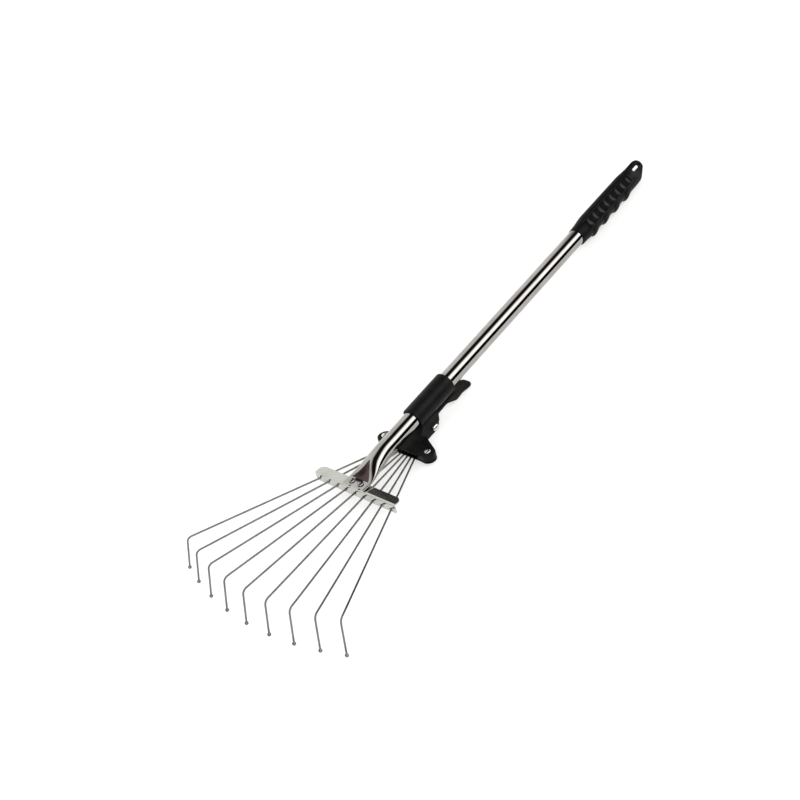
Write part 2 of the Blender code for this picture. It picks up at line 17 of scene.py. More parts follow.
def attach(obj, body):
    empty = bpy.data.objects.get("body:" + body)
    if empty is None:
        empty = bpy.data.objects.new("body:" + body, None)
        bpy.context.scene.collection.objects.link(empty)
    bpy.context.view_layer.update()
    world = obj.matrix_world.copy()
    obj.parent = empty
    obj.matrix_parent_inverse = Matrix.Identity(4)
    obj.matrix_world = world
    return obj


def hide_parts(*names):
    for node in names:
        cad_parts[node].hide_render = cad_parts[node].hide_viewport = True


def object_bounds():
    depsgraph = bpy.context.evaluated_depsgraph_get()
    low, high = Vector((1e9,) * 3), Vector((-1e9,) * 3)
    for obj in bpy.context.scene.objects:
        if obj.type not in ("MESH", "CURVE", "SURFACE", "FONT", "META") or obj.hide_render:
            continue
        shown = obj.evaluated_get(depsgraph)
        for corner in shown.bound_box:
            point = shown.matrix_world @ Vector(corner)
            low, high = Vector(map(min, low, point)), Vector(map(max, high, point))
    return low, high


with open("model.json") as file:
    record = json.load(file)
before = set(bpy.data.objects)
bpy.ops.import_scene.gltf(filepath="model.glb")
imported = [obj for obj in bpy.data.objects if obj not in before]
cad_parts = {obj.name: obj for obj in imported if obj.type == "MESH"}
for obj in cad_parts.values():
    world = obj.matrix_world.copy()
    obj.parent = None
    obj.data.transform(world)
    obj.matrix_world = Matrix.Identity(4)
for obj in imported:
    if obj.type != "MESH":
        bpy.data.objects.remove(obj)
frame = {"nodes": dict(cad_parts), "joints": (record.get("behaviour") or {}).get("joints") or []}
cad_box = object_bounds()

# ---------------------------------------------------------------- sizes shared with the CAD

GAP = 0.0003
FAN_ANGLE = math.radians(9.1)
AXIS_ABOVE_FAN = 0.011
PIVOT_S, PIVOT_N = 0.1260, -0.0225
GRIP_ROLL = math.radians(-45.0)

TUBE_RADIUS, TUBE_WALL, TUBE_TOP = 0.011, 0.0007, 0.585
FLAT_HALF_WIDTH, FLAT_HALF_THICKNESS = 0.0170, 0.0015
FLAT_FRONT_Y, FLAT_BACK_Y, ROUND_FROM = -0.0005, 0.0120, 0.062

TINES, OUTERMOST, SLOT_PITCH = 9, 4, 0.0146
BRACKET_HALF_LENGTH, SHEET = 0.0650, 0.0015
FLANGE_TOP_Z, FLANGE_BACK_Y, SKIRT_BOTTOM_Z = 0.0075, 0.0125, -0.0047
SLOT_HEIGHT, SLOT_WIDTH, SLOT_STEP = 0.0044, 0.0036, 0.0008
BRACKET_RIVET, HOLDER_RIVET, RIVET_HOLE = (0.0070, 0.0056), (0.0350, 0.0900), 0.0025

WIRE_RADIUS, PIVOT_Y, PIVOT_PITCH, TINE_LENGTH = 0.00115, 0.0900, 0.00435, 0.2668
PRONG_LENGTH, PRONG_ANGLE, BEND_RADIUS = 0.0435, math.radians(74.6), 0.0070
PIVOT_LEG, PIVOT_BEND, BALL_RADIUS = 0.0040, 0.0019, 0.00230

PLATE_TOP_Z, PLATE_SPLIT_Z, POCKET_TOP_Z = 0.0060, -0.0021, 0.0016
LOWER_TOP_Z, LOWER_BOTTOM_Z, LOWER_REAR_Y = -0.0024, -0.0046, 0.1050
PLATE_FRONT_Y, LOBE_RADIUS, PLATE_REAR = 0.0815, 0.0092, (0.0130, 0.1120)
COLLAR_START, COLLAR_END, COLLAR_RADIUS, COLLAR_BORE = 0.1110, 0.1770, 0.0140, 0.01135
EAR_HALF_WIDTH, BOLT_RADIUS, BOLT_HEAD = 0.0130, 0.0020, 0.0048

GRIP_START, GRIP_HALF_WIDTH, GRIP_BACK, GRIP_FINGERS = 0.4600, 0.0128, 0.0128, 0.0138
GRIP_BUMP, GRIP_BELLY = 0.0027, 0.0014
BELLY_FROM, BELLY_RISE, BELLY_TO, BELLY_FALL = 0.470, 0.020, 0.596, 0.024
RIDGES, RIDGE_FIRST, RIDGE_PITCH = 4, 0.4786, 0.0255
RIDGE_RISE, RIDGE_CREST, RIDGE_END = 0.0040, 0.0055, 0.0185
LOOP_CENTRE, LOOP_OFFSET, LOOP_RADIUS = 0.6115, 0.0035, 0.0090
LOOP_HALF_THICKNESS, LOOP_SLOPE, THINNING_START = 0.0045, math.radians(32.0), 0.5780
HANG_HOLE_CENTRE, HANG_HOLE_LENGTH, HANG_HOLE_WIDTH = 0.6066, 0.0212, 0.0036


def to_handle(y, z):
    """Fan-frame y, z as distances along and above the tube's axis."""
    rise = z - AXIS_ABOVE_FAN
    return (y * math.cos(FAN_ANGLE) + rise * math.sin(FAN_ANGLE),
            rise * math.cos(FAN_ANGLE) - y * math.sin(FAN_ANGLE))


joints = {j["name"]: j for j in frame["joints"]}
along_tube = Vector(joints["slider_slide"]["axis"]).normalized()
above_tube = Vector((1.0, 0.0, 0.0)).cross(along_tube)
rake_origin = (Vector(joints["lever_pivot"]["pos_m"])
               - PIVOT_S * along_tube - PIVOT_N * above_tube)
rake = (Matrix.Translation(rake_origin)
        @ Matrix((Vector((1.0, 0.0, 0.0)), along_tube, above_tube)).transposed().to_4x4())
fan = (rake @ Matrix.Translation((0.0, *to_handle(0.0, 0.0)))
       @ Matrix.Rotation(-FAN_ANGLE, 4, "X"))
grip = rake @ Matrix.Rotation(GRIP_ROLL, 4, "Y")


def smooth(t):
    t = min(1.0, max(0.0, t))
    return t * t * (3.0 - 2.0 * t)


# ---------------------------------------------------------------- materials

def new_material(name, colour, metallic, roughness):
    mat = bpy.data.materials.new(name)
    mat.use_nodes = True
    tree = mat.node_tree
    shader = tree.nodes["Principled BSDF"]
    shader.inputs["Base Color"].default_value = (*colour, 1.0)
    shader.inputs["Metallic"].default_value = metallic
    shader.inputs["Roughness"].default_value = roughness
    return mat, tree, shader


def noise(tree, scale, detail=3.0, stretch=(1.0, 1.0, 1.0)):
    coords = tree.nodes.new("ShaderNodeTexCoord")
    mapping = tree.nodes.new("ShaderNodeMapping")
    mapping.inputs["Scale"].default_value = stretch
    tree.links.new(coords.outputs["Object"], mapping.inputs["Vector"])
    tex = tree.nodes.new("ShaderNodeTexNoise")
    tex.inputs["Scale"].default_value = scale
    tex.inputs["Detail"].default_value = detail
    tree.links.new(mapping.outputs["Vector"], tex.inputs["Vector"])
    return tex.outputs["Fac"]


def ramp(tree, source, low, high):
    """The middle greys of source mapped onto the colours low..high."""
    node = tree.nodes.new("ShaderNodeValToRGB")
    node.color_ramp.elements[0].position = 0.35
    node.color_ramp.elements[1].position = 0.65
    node.color_ramp.elements[0].color = (*low, 1.0)
    node.color_ramp.elements[1].color = (*high, 1.0)
    tree.links.new(source, node.inputs["Fac"])
    return node.outputs["Color"]


def ranged(tree, source, low, high, start=0.3, end=0.7, interpolation="LINEAR"):
    """source mapped from start..end onto low..high."""
    node = tree.nodes.new("ShaderNodeMapRange")
    node.interpolation_type = interpolation
    for name, value in (("From Min", start), ("From Max", end), ("To Min", low), ("To Max", high)):
        node.inputs[name].default_value = value
    tree.links.new(source, node.inputs["Value"])
    return node.outputs["Result"]


def bump(tree, shader, source, distance, strength):
    node = tree.nodes.new("ShaderNodeBump")
    node.inputs["Distance"].default_value = distance
    node.inputs["Strength"].default_value = strength
    tree.links.new(source, node.inputs["Height"])
    normal = shader.inputs["Normal"]
    if normal.is_linked:
        tree.links.new(normal.links[0].from_socket, node.inputs["Normal"])
    tree.links.new(node.outputs["Normal"], normal)


def polished(name, dark, light, rough_low, rough_high, streaks, relief=0.25, scale=900.0):
    """Bright metal: faint clouding, drawn streaks along +Y and handling marks in the gloss."""
    mat, tree, shader = new_material(name, light, 1.0, rough_low)
    cloud = noise(tree, 55.0, 4.0)
    tree.links.new(ramp(tree, cloud, dark, light), shader.inputs["Base Color"])
    marks = noise(tree, scale, 5.0, streaks)
    tree.links.new(ranged(tree, marks, rough_low, rough_high), shader.inputs["Roughness"])
    if relief:
        bump(tree, shader, marks, 0.000004, relief)
    return mat


def moulded(name, dark, light, rough_low, rough_high, grain, gloss=0.10):
    """Black moulded plastic: fine spark-eroded grain, soft mottling, dull handled areas."""
    mat, tree, shader = new_material(name, light, 0.0, rough_low)
    shader.inputs["Specular IOR Level"].default_value = gloss
    tree.links.new(ramp(tree, noise(tree, 90.0, 4.0), dark, light), shader.inputs["Base Color"])
    handled = noise(tree, 35.0, 5.0)
    tree.links.new(ranged(tree, handled, rough_low, rough_high), shader.inputs["Roughness"])
    bump(tree, shader, noise(tree, 2600.0, 2.0), grain, 0.35)
    return mat


chrome = polished("chrome", (0.345, 0.332, 0.318), (0.405, 0.394, 0.383), 0.03, 0.07,
                  (1.0, 0.03, 1.0))
# Near-black, rougher chrome for the dent in the pressed end: painted shade and dark reflection in
# the dent.
dent_painted_shade = polished("dent_chrome_painted_shade", (0.075, 0.050, 0.052), (0.105, 0.075, 0.075), 0.34, 0.46,
                        (1.0, 1.0, 1.0), 0.0, 300.0)
plated = polished("plated_sheet", (0.46, 0.47, 0.435), (0.52, 0.53, 0.495), 0.10, 0.17,
                  (0.04, 1.0, 1.0))
wire = polished("drawn_wire", (0.165, 0.160, 0.153), (0.205, 0.198, 0.190), 0.10, 0.15,
                (1.0, 1.0, 1.0), 0.0, 60.0)
bright = polished("bright_fastener", (0.62, 0.62, 0.61), (0.72, 0.72, 0.71), 0.06, 0.12,
                  (1.0, 1.0, 1.0))
# Rougher steel with a darker colour for the bracket rivets: the darker colour is painted shade and
# dark reflection on their heads.
dull_painted_shade_steel = polished("dull_painted_shade_steel_rivet", (0.22, 0.21, 0.205), (0.34, 0.33, 0.325), 0.12, 0.2,
                  (1.0, 1.0, 1.0))
black = moulded("black_plastic", (0.0034, 0.0032, 0.0032), (0.0064, 0.0060, 0.0060), 0.34, 0.46,
                0.00003)
plate_black = moulded("plate_plastic", (0.0014, 0.0014, 0.0015), (0.0030, 0.0030, 0.0031), 0.36,
                      0.48, 0.00004, 0.06)
lever_black = moulded("lever_plastic", (0.0058, 0.0040, 0.0042), (0.0098, 0.0068, 0.0072), 0.36,
                      0.48, 0.00003)
grip_black = moulded("grip_plastic", (0.0018, 0.0018, 0.0020), (0.0042, 0.0042, 0.0046), 0.40,
                     0.52, 0.00004)
# Lighter, glossier black for the grip's rib tops: wear, with a painted highlight on the raised
# ribs.
rib_worn_painted_highlight = moulded("grip_rib_worn", (0.011, 0.011, 0.012), (0.019, 0.019, 0.020), 0.34, 0.44,
                   0.00003, 0.20)
# Darker, rougher black for the grip's sunk panel: a dull finish, with painted shade in the recess.
grip_recess_painted_shade = moulded("grip_recess_painted_shade", (0.0015, 0.0015, 0.0016), (0.0030, 0.0030, 0.0032), 0.55,
                      0.65, 0.00004, 0.06)
pad_grey = moulded("pad_rubber", (0.030, 0.030, 0.030), (0.050, 0.050, 0.050), 0.6, 0.75, 0.00006)


# ---------------------------------------------------------------- mesh helpers

def finish_piece(bm, name, matrix, mat, body, node, sharp=38.0):
    """Turn a mesh in a local frame into a piece that stands for a CAD node."""
    bmesh.ops.recalc_face_normals(bm, faces=bm.faces)
    mesh = bpy.data.meshes.new(name)
    bm.to_mesh(mesh)
    bm.free()
    mesh.transform(matrix)
    mesh.shade_smooth()
    mesh.set_sharp_from_angle(angle=math.radians(sharp))
    mesh.materials.append(mat)
    obj = bpy.data.objects.new(name, mesh)
    bpy.context.scene.collection.objects.link(obj)
    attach(obj, body)
    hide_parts(node)
    return obj


def skin(rings):
    """A closed skin through rings with equal numbers of points, with its two ends capped."""
    bm = bmesh.new()
    loops = [[bm.verts.new(p) for p in ring] for ring in rings]
    count = len(loops[0])
    for a, b in zip(loops, loops[1:]):
        for i in range(count):
            j = (i + 1) % count
            bm.faces.new((a[i], a[j], b[j], b[i]))
    bm.faces.new(list(reversed(loops[0])))
    bm.faces.new(loops[-1])
    return bm


def ring_about(centre, u, v, radius, count):
    steps = [2.0 * math.pi * i / count for i in range(count)]
    return [centre + radius * (math.cos(t) * u + math.sin(t) * v) for t in steps]


def turned(origin, axis, profile, count=48):
    """A lathe shape: profile is (radius, distance along the axis) from end to end."""
    w = Vector(axis).normalized()
    u = w.orthogonal().normalized()
    v = w.cross(u)
    return skin([ring_about(Vector(origin) + h * w, u, v, r, count) for r, h in profile])


def cylinder(start, end, radius, count=64):
    span = Vector(end) - Vector(start)
    return turned(start, span, [(radius, 0.0), (radius, span.length)], count)


def prism(outline, plane, low, high):
    """An outline in the named plane, extruded from low to high across it."""
    place = {"xy": lambda a, b, c: (a, b, c), "yz": lambda a, b, c: (c, a, b),
             "xz": lambda a, b, c: (a, c, b)}[plane]
    return skin([[place(a, b, level) for a, b in outline] for level in (low, high)])


def box(low, high):
    outline = [(low[0], low[1]), (high[0], low[1]), (high[0], high[1]), (low[0], high[1])]
    return prism(outline, "xy", low[2], high[2])


def arc(centre, radius, start, end, steps):
    angles = [math.radians(start + (end - start) * i / steps) for i in range(steps + 1)]
    return [(centre[0] + radius * math.cos(t), centre[1] + radius * math.sin(t)) for t in angles]


def slot_outline(x, y, half, radius, steps):
    """A slot with round ends, whose centres are half to each side of (x, y)."""
    return arc((x + half, y), radius, -90, 90, steps) + arc((x - half, y), radius, 90, 270, steps)


def mirrored(half):
    return half + [(-x, y) for x, y in reversed(half) if x > 1e-9]


def dome(radius, height, base, steps=12):
    """Profile of a dome's side, from its rim at base to a small flat on top."""
    angles = [0.5 * math.pi * i / steps for i in range(steps)]
    stations = [(radius * math.cos(t), base + height * math.sin(t)) for t in angles]
    return stations + [(0.04 * radius, base + height)]


def scratch_object(bm, matrix=None):
    bmesh.ops.recalc_face_normals(bm, faces=bm.faces)
    mesh = bpy.data.meshes.new("scratch")
    bm.to_mesh(mesh)
    bm.free()
    if matrix:
        mesh.transform(matrix)
    obj = bpy.data.objects.new("scratch", mesh)
    bpy.context.scene.collection.objects.link(obj)
    return obj


def evaluated(obj, others=()):
    """The mesh of obj with its modifiers applied; obj and the others are removed."""
    bpy.context.view_layer.update()
    depsgraph = bpy.context.evaluated_depsgraph_get()
    bm = bmesh.new()
    mesh = bpy.data.meshes.new_from_object(obj.evaluated_get(depsgraph))
    bm.from_mesh(mesh)
    bpy.data.meshes.remove(mesh)
    for used in (obj, *others):
        old = used.data
        bpy.data.objects.remove(used)
        bpy.data.meshes.remove(old)
    return bm


def combined(base, steps):
    """base after each (operation, tools) step; a tool is a mesh, or a mesh and its matrix."""
    obj = scratch_object(base)
    tools = []
    for operation, cutters in steps:
        for cutter in cutters:
            cutter_matrix = None
            if isinstance(cutter, tuple):
                cutter, cutter_matrix = cutter
            tool = scratch_object(cutter, cutter_matrix)
            modifier = obj.modifiers.new("combine", "BOOLEAN")
            modifier.operation = operation
            modifier.solver = "EXACT"
            modifier.object = tool
            tools.append(tool)
    return evaluated(obj, tools)


def softened(bm, voxel, rounds):
    """Edges rounded as on a moulding: a fine even mesh, relaxed a little."""
    obj = scratch_object(bm)
    remesh = obj.modifiers.new("remesh", "REMESH")
    remesh.mode = "VOXEL"
    remesh.voxel_size = voxel
    relax = obj.modifiers.new("relax", "SMOOTH")
    relax.iterations = rounds
    relax.factor = 0.5
    return evaluated(obj)


def eased(bm, width):
    """Sharp edges of sheet and machined pieces broken by a small bevel."""
    obj = scratch_object(bm)
    bevel = obj.modifiers.new("bevel", "BEVEL")
    bevel.width = width
    bevel.segments = 2
    bevel.limit_method = "ANGLE"
    bevel.angle_limit = math.radians(35.0)
    bevel.use_clamp_overlap = True
    return evaluated(obj)


# ---------------------------------------------------------------- handle tube

DENT_START, DENT_END = 0.0105, 0.0350
DENT_HALF_WIDTH, DENT_DEPTH = 0.0140, 0.0032


def tube_ring(share, centre, roll, count=144, scale=1.0, height_share=None):
    """One ring of the tube: round at share 1, pressed flat at 0, with a dent in its top."""
    flat = 1.0 - share
    pressed = flat if height_share is None else 1.0 - height_share
    half_width = scale * (TUBE_RADIUS + flat * (FLAT_HALF_WIDTH - TUBE_RADIUS))
    half_height = scale * (TUBE_RADIUS + pressed * (FLAT_HALF_THICKNESS - TUBE_RADIUS))
    power = 2.0 / (2.0 + 2.5 * pressed ** 4)
    turn = Matrix.Rotation(roll, 3, "X")
    past = (centre.y - DENT_START) / (DENT_END - DENT_START)
    depth = DENT_DEPTH * math.sin(math.pi * past) ** 0.8 if 0.0 < past < 1.0 else 0.0
    width = DENT_HALF_WIDTH * max(0.0, 1.0 - past)
    points = []
    for i in range(count):
        t = 2.0 * math.pi * (i + 0.5) / count
        c, s = math.cos(t), math.sin(t)
        x = half_width * math.copysign(abs(c) ** power, c)
        z = half_height * math.copysign(abs(s) ** power, s)
        if s > 0.0 and depth and abs(x) < width:
            z -= depth * (1.0 - abs(x) / width) ** 1.15
        points.append(centre + turn @ Vector((x, 0.0, z)))
    return points


def in_dent(x, along):
    """Whether a point of the tube's top lies in the V-shaped dent."""
    past = (along - DENT_START) / (DENT_END - DENT_START)
    return 0.02 < past < 1.0 and abs(x) < DENT_HALF_WIDTH * (1.0 - past)


def pressed_height(t):
    """Share of the full height along the pressed zone: most is won in its first half."""
    return 0.80 * smooth(t / 0.55) + 0.20 * smooth(t)


def handle_tube():
    flat_z = FLANGE_TOP_Z + GAP + FLAT_HALF_THICKNESS
    rings = []
    for y, scale in ((FLAT_FRONT_Y, 0.985), (FLAT_FRONT_Y + 0.0004, 1.0),
                     (FLAT_BACK_Y - 0.004, 1.0), (FLAT_BACK_Y, 1.0)):
        along, above = to_handle(y, flat_z)
        rings.append(tube_ring(0.0, Vector((0.0, along, above)), -FAN_ANGLE, scale=scale))
    first, level = to_handle(FLAT_BACK_Y, flat_z)
    pressed_steps, round_steps = 84, 40
    for i in range(1, pressed_steps + 1):
        t = i / pressed_steps
        centre = Vector((0.0, first + (ROUND_FROM - first) * t, level * (1.0 - smooth(t))))
        rings.append(tube_ring(smooth(t ** 0.8), centre, -FAN_ANGLE * (1.0 - smooth(t)),
                               height_share=pressed_height(t)))
    for k in range(1, round_steps + 1):
        along = ROUND_FROM + (TUBE_TOP - ROUND_FROM) * k / round_steps
        rings.append(tube_ring(1.0, Vector((0.0, along, 0.0)), 0.0))
    inner = (TUBE_RADIUS - TUBE_WALL) / TUBE_RADIUS
    for along in (TUBE_TOP, TUBE_TOP - 0.02):
        rings.append(tube_ring(1.0, Vector((0.0, along, 0.0)), 0.0, scale=inner))
    bm = skin(rings)
    bmesh.ops.recalc_face_normals(bm, faces=bm.faces[:])
    # Faces on the dent's floor take the near-black chrome: painted shade in the dent.
    for face in bm.faces:
        middle = face.calc_center_median()
        if in_dent(middle.x, middle.y) and face.normal.z > 0.1:
            face.material_index = 1
    obj = finish_piece(bm, "tube_polished", rake, chrome, "root", "handle_tube", 24.0)
    obj.data.materials.append(dent_painted_shade)


# ---------------------------------------------------------------- hand grip

RIBS, RIB_FIRST, RIB_PITCH = 8, 0.4824, 0.01305
RIB_HALF_LENGTH, RIB_HALF_WIDTH, RIB_HEIGHT, RIB_BOW = 0.0023, 0.0058, 0.0021, 0.0024
RIB_TAPER, RIB_END_EDGE, RIB_SIDE_EDGE = 0.16, 0.0020, 0.0016
PANEL_DEPTH, PANEL_PAST_ENDS, PANEL_PAST_SIDES = 0.0014, 0.0062, 0.0012
PANEL_END_EDGE, PANEL_SIDE_EDGE = 0.0025, 0.0018
NOSE_BLEND = 0.0030


def grip_bump(along):
    """Height of the finger ridges: each is steep on its tube side and falls off gently."""
    height = 0.0
    for k in range(RIDGES):
        past = along - (RIDGE_FIRST + k * RIDGE_PITCH)
        rise = smooth(past / RIDGE_RISE)
        fall = smooth((RIDGE_END - past) / (RIDGE_END - RIDGE_CREST))
        height = max(height, rise * fall)
    return GRIP_BUMP * height


def grip_back(along):
    """Height of the palm side above the tube's axis."""
    swell = smooth((along - BELLY_FROM) / BELLY_RISE) * smooth((BELLY_TO - along) / BELLY_FALL)
    return GRIP_BACK + GRIP_BELLY * swell


def grip_edges(along):
    """Heights of the palm side and the finger side, which meet round the hanging loop."""
    past = along - LOOP_CENTRE
    tangent = LOOP_RADIUS * math.sin(LOOP_SLOPE)
    chord = math.sqrt(max(0.0, LOOP_RADIUS ** 2 - past ** 2))
    back = min(grip_back(along) if past < 0.0 else LOOP_OFFSET + chord, grip_back(along))
    if past > tangent:
        return back, LOOP_OFFSET - chord
    nose = (LOOP_OFFSET - LOOP_RADIUS * math.cos(LOOP_SLOPE)
            + math.tan(LOOP_SLOPE) * (past - tangent))
    lower = -GRIP_FINGERS - grip_bump(along)
    return back, 0.5 * (nose + lower + math.hypot(nose - lower, NOSE_BLEND))


def plateau(value, half, edge):
    """1 where value is within half of zero, falling to 0 over a soft edge."""
    return smooth((half - abs(value)) / edge + 0.5)


def rib_relief(along, across):
    """Outward offset of the grip's sides: crescent ribs standing in a sunk panel."""
    span = 0.5 * (RIBS - 1) * RIB_PITCH
    middle = RIB_FIRST + span
    narrow = 1.0 - RIB_TAPER * smooth((along - middle) / span)
    panel = (plateau(along - middle, span + PANEL_PAST_ENDS, PANEL_END_EDGE)
             * plateau(across, (RIB_HALF_WIDTH + PANEL_PAST_SIDES) * narrow, PANEL_SIDE_EDGE))
    bow = RIB_BOW * (across / RIB_HALF_WIDTH) ** 2
    height = 0.0
    for k in range(RIBS):
        centre = RIB_FIRST + k * RIB_PITCH
        height = max(height, plateau(along - centre - bow, RIB_HALF_LENGTH, RIB_END_EDGE)
                     * plateau(across, RIB_HALF_WIDTH * narrow, RIB_SIDE_EDGE))
    return RIB_HEIGHT * height - PANEL_DEPTH * panel


def grip_ring(along, count=120, lip=0.0):
    back, fingers = grip_edges(along)
    swell = 1.0 - 0.07 * (1.0 - smooth((along - GRIP_START) / 0.020)) - lip
    thin = smooth((along - THINNING_START) / (LOOP_CENTRE - THINNING_START))
    tip = min(1.0, max(0.0, (along - LOOP_CENTRE) / (LOOP_RADIUS + 0.0004)))
    half_width = GRIP_HALF_WIDTH + thin * (LOOP_HALF_THICKNESS - GRIP_HALF_WIDTH)
    half_width *= swell * math.sqrt(max(0.0, 1.0 - tip ** 4))
    middle, half_height = 0.5 * (back + fingers), 0.5 * (back - fingers) * swell
    power = 2.0 / (2.15 + 0.7 * thin)
    points = []
    for i in range(count):
        t = 2.0 * math.pi * (i + 0.5) / count
        c, s = math.cos(t), math.sin(t)
        x = half_width * math.copysign(abs(c) ** power, c)
        z = middle + half_height * math.copysign(abs(s) ** power, s)
        if abs(c) > 0.3:
            x += math.copysign(rib_relief(along, z), c)
        points.append(Vector((x, along, z)))
    return points


def hand_grip():
    end = LOOP_CENTRE + LOOP_RADIUS
    rings = [grip_ring(GRIP_START + 0.00002, lip=0.035), grip_ring(GRIP_START + 0.0004, lip=0.010),
             grip_ring(GRIP_START + 0.0010)]
    count, lead, tail = 190, 0.0018, 0.0068  # even rings, after the lip and before the round end
    rings += [grip_ring(GRIP_START + lead + (end - tail - GRIP_START - lead) * k / count)
              for k in range(count + 1)]
    rings += [grip_ring(end - d) for d in (0.0058, 0.0048, 0.0038, 0.0030, 0.0022, 0.0016, 0.0010,
                                           0.0006, 0.0003, 0.0001)]
    bore = cylinder((0, GRIP_START - 0.01, 0), (0, TUBE_TOP + GAP, 0), TUBE_RADIUS + GAP, 96)
    half = 0.5 * (HANG_HOLE_LENGTH - HANG_HOLE_WIDTH)
    outline = slot_outline(HANG_HOLE_CENTRE, LOOP_OFFSET, half, 0.5 * HANG_HOLE_WIDTH, 24)
    hole = prism(outline, "yz", -0.03, 0.03)
    bm = combined(skin(rings), [("DIFFERENCE", [bore, hole])])
    # Rib tops take a lighter black (wear plus painted highlight), the sunk panel's floor a darker
    # one (dull finish plus painted shade).
    for face in bm.faces:
        middle = face.calc_center_median()
        if abs(middle.x) > 0.75 * GRIP_HALF_WIDTH:
            relief = rib_relief(middle.y, middle.z)  # rib tops: wear plus painted highlight; panel floor: dull, with painted shade
            face.material_index = 1 if relief > 0.0002 else 2 if relief < -0.0010 else 0
    obj = finish_piece(bm, "grip_moulded", grip, grip_black, "root", "hand_grip", 50.0)
    obj.data.materials.append(rib_worn_painted_highlight)
    obj.data.materials.append(grip_recess_painted_shade)


# ---------------------------------------------------------------- bracket and rivets

WING_SLOPE, WING_FROM, WING_RUN, WING_STEP = math.radians(5.0), 0.0090, 0.0080, 0.0010
OUTER_BEND, INNER_BEND, FLANGE_CORNER, SKIRT_CORNER = 0.0022, 0.0007, 0.0078, 0.0020


def rivet_holes(place):
    """Cutters for a left and right pair of rivet holes, in the fan frame."""
    return [cylinder((s * place[0], place[1], -0.02), (s * place[0], place[1], 0.03), RIVET_HOLE,
                     32) for s in (-1, 1)]


def spreader_bracket():
    """An angle of sheet along X, slotted for the tines; its right wing dips a little."""
    front, back = -0.5 * SHEET, 0.5 * SHEET
    under = FLANGE_TOP_Z - SHEET
    stations = [WING_FROM + WING_STEP * k for k in range(9)]  # from the slope's start to its end
    rings = []
    for x in [-BRACKET_HALF_LENGTH] + stations + [BRACKET_HALF_LENGTH]:
        wing = smooth((x - WING_FROM) / WING_RUN)
        drop = wing * math.tan(WING_SLOPE) * (FLANGE_BACK_Y - back)
        section = ([(front, SKIRT_BOTTOM_Z), (back, SKIRT_BOTTOM_Z)]
                   + arc((back + INNER_BEND, under - INNER_BEND), INNER_BEND, 180, 90, 6)
                   + [(FLANGE_BACK_Y, under - drop), (FLANGE_BACK_Y, FLANGE_TOP_Z - drop)]
                   + arc((front + OUTER_BEND, FLANGE_TOP_Z - OUTER_BEND), OUTER_BEND, 90, 180, 10))
        rings.append([(x, y, z) for y, z in section])
    bm = skin(rings)
    near = 1e-5
    end = BRACKET_HALF_LENGTH - near
    for is_corner, radius in ((lambda v: v.y > FLANGE_BACK_Y - near, FLANGE_CORNER),
                              (lambda v: v.z < SKIRT_BOTTOM_Z + near, SKIRT_CORNER)):
        edges = [e for e in bm.edges if e.calc_length() < 1.1 * SHEET
                 and all(abs(v.co.x) > end and is_corner(v.co) for v in e.verts)]
        bmesh.ops.bevel(bm, geom=edges, offset=radius, segments=12, profile=0.5, affect="EDGES")
    slots = []
    for i in range(-OUTERMOST, OUTERMOST + 1):
        radius = 0.5 * SLOT_HEIGHT
        half = max(0.00001, 0.5 * (SLOT_WIDTH + SLOT_STEP * abs(i)) - radius)
        outline = slot_outline(i * SLOT_PITCH, 0.0, half, radius, 14)
        slots.append(prism(outline, "xz", -0.005, 0.005))
    bm = eased(combined(bm, [("DIFFERENCE", slots + rivet_holes(BRACKET_RIVET))]), 0.00022)
    obj = finish_piece(bm, "bracket_pressed", fan, plated, "root", "spreader_bracket",
                       30.0)
    obj.modifiers.new("flat_faces", "WEIGHTED_NORMAL").keep_sharp = True


def rivet(name, place, bottom, top, body, node, mat):
    """A rivet through the sheets between bottom and top, its head a dome with a dished middle."""
    under, over = bottom - GAP, top + GAP
    head, rise = 0.0040, 0.0022
    profile = [(0.0018, under - 0.0011), (0.0027, under - 0.00105), (0.0032, under - 0.0008),
               (0.0034, under - 0.0004), (0.0034, under), (0.0022, under), (0.0022, over),
               (0.0038, over)] + dome(head, rise, over + 0.0002)[:-1]
    profile.append((0.04 * head, over + rise))
    bm = turned((place[0], place[1], 0.0), (0, 0, 1), profile)
    finish_piece(bm, name, fan, mat, body, node, 40.0)


def rivets():
    flat_top = FLANGE_TOP_Z + GAP + 2.0 * FLAT_HALF_THICKNESS
    for side, sign in (("left", -1), ("right", 1)):
        # The bracket rivets take the darker steel: painted shade on their heads.
        rivet(f"bracket_rivet_{side}_turned", (sign * BRACKET_RIVET[0], BRACKET_RIVET[1]),
              FLANGE_TOP_Z - SHEET, flat_top, "root", f"bracket_rivet_{side}", dull_painted_shade_steel)
        rivet(f"holder_rivet_{side}_turned", (sign * HOLDER_RIVET[0], HOLDER_RIVET[1]),
              LOWER_BOTTOM_Z, PLATE_TOP_Z, "slider", f"holder_rivet_{side}", bright)


# ---------------------------------------------------------------- tines

def fillet(corner, before, after, radius, steps):
    """Points and directions of the arc that rounds a corner between two directions."""
    turn = before.angle(after)
    cut = radius * math.tan(0.5 * turn)
    axis = before.cross(after).normalized()
    inward = axis.cross(before)
    centre = corner - cut * before + radius * inward
    points = []
    for k in range(steps + 1):
        rotation = Matrix.Rotation(turn * k / steps, 3, axis)
        points.append((centre + rotation @ (-radius * inward), rotation @ before))
    return points


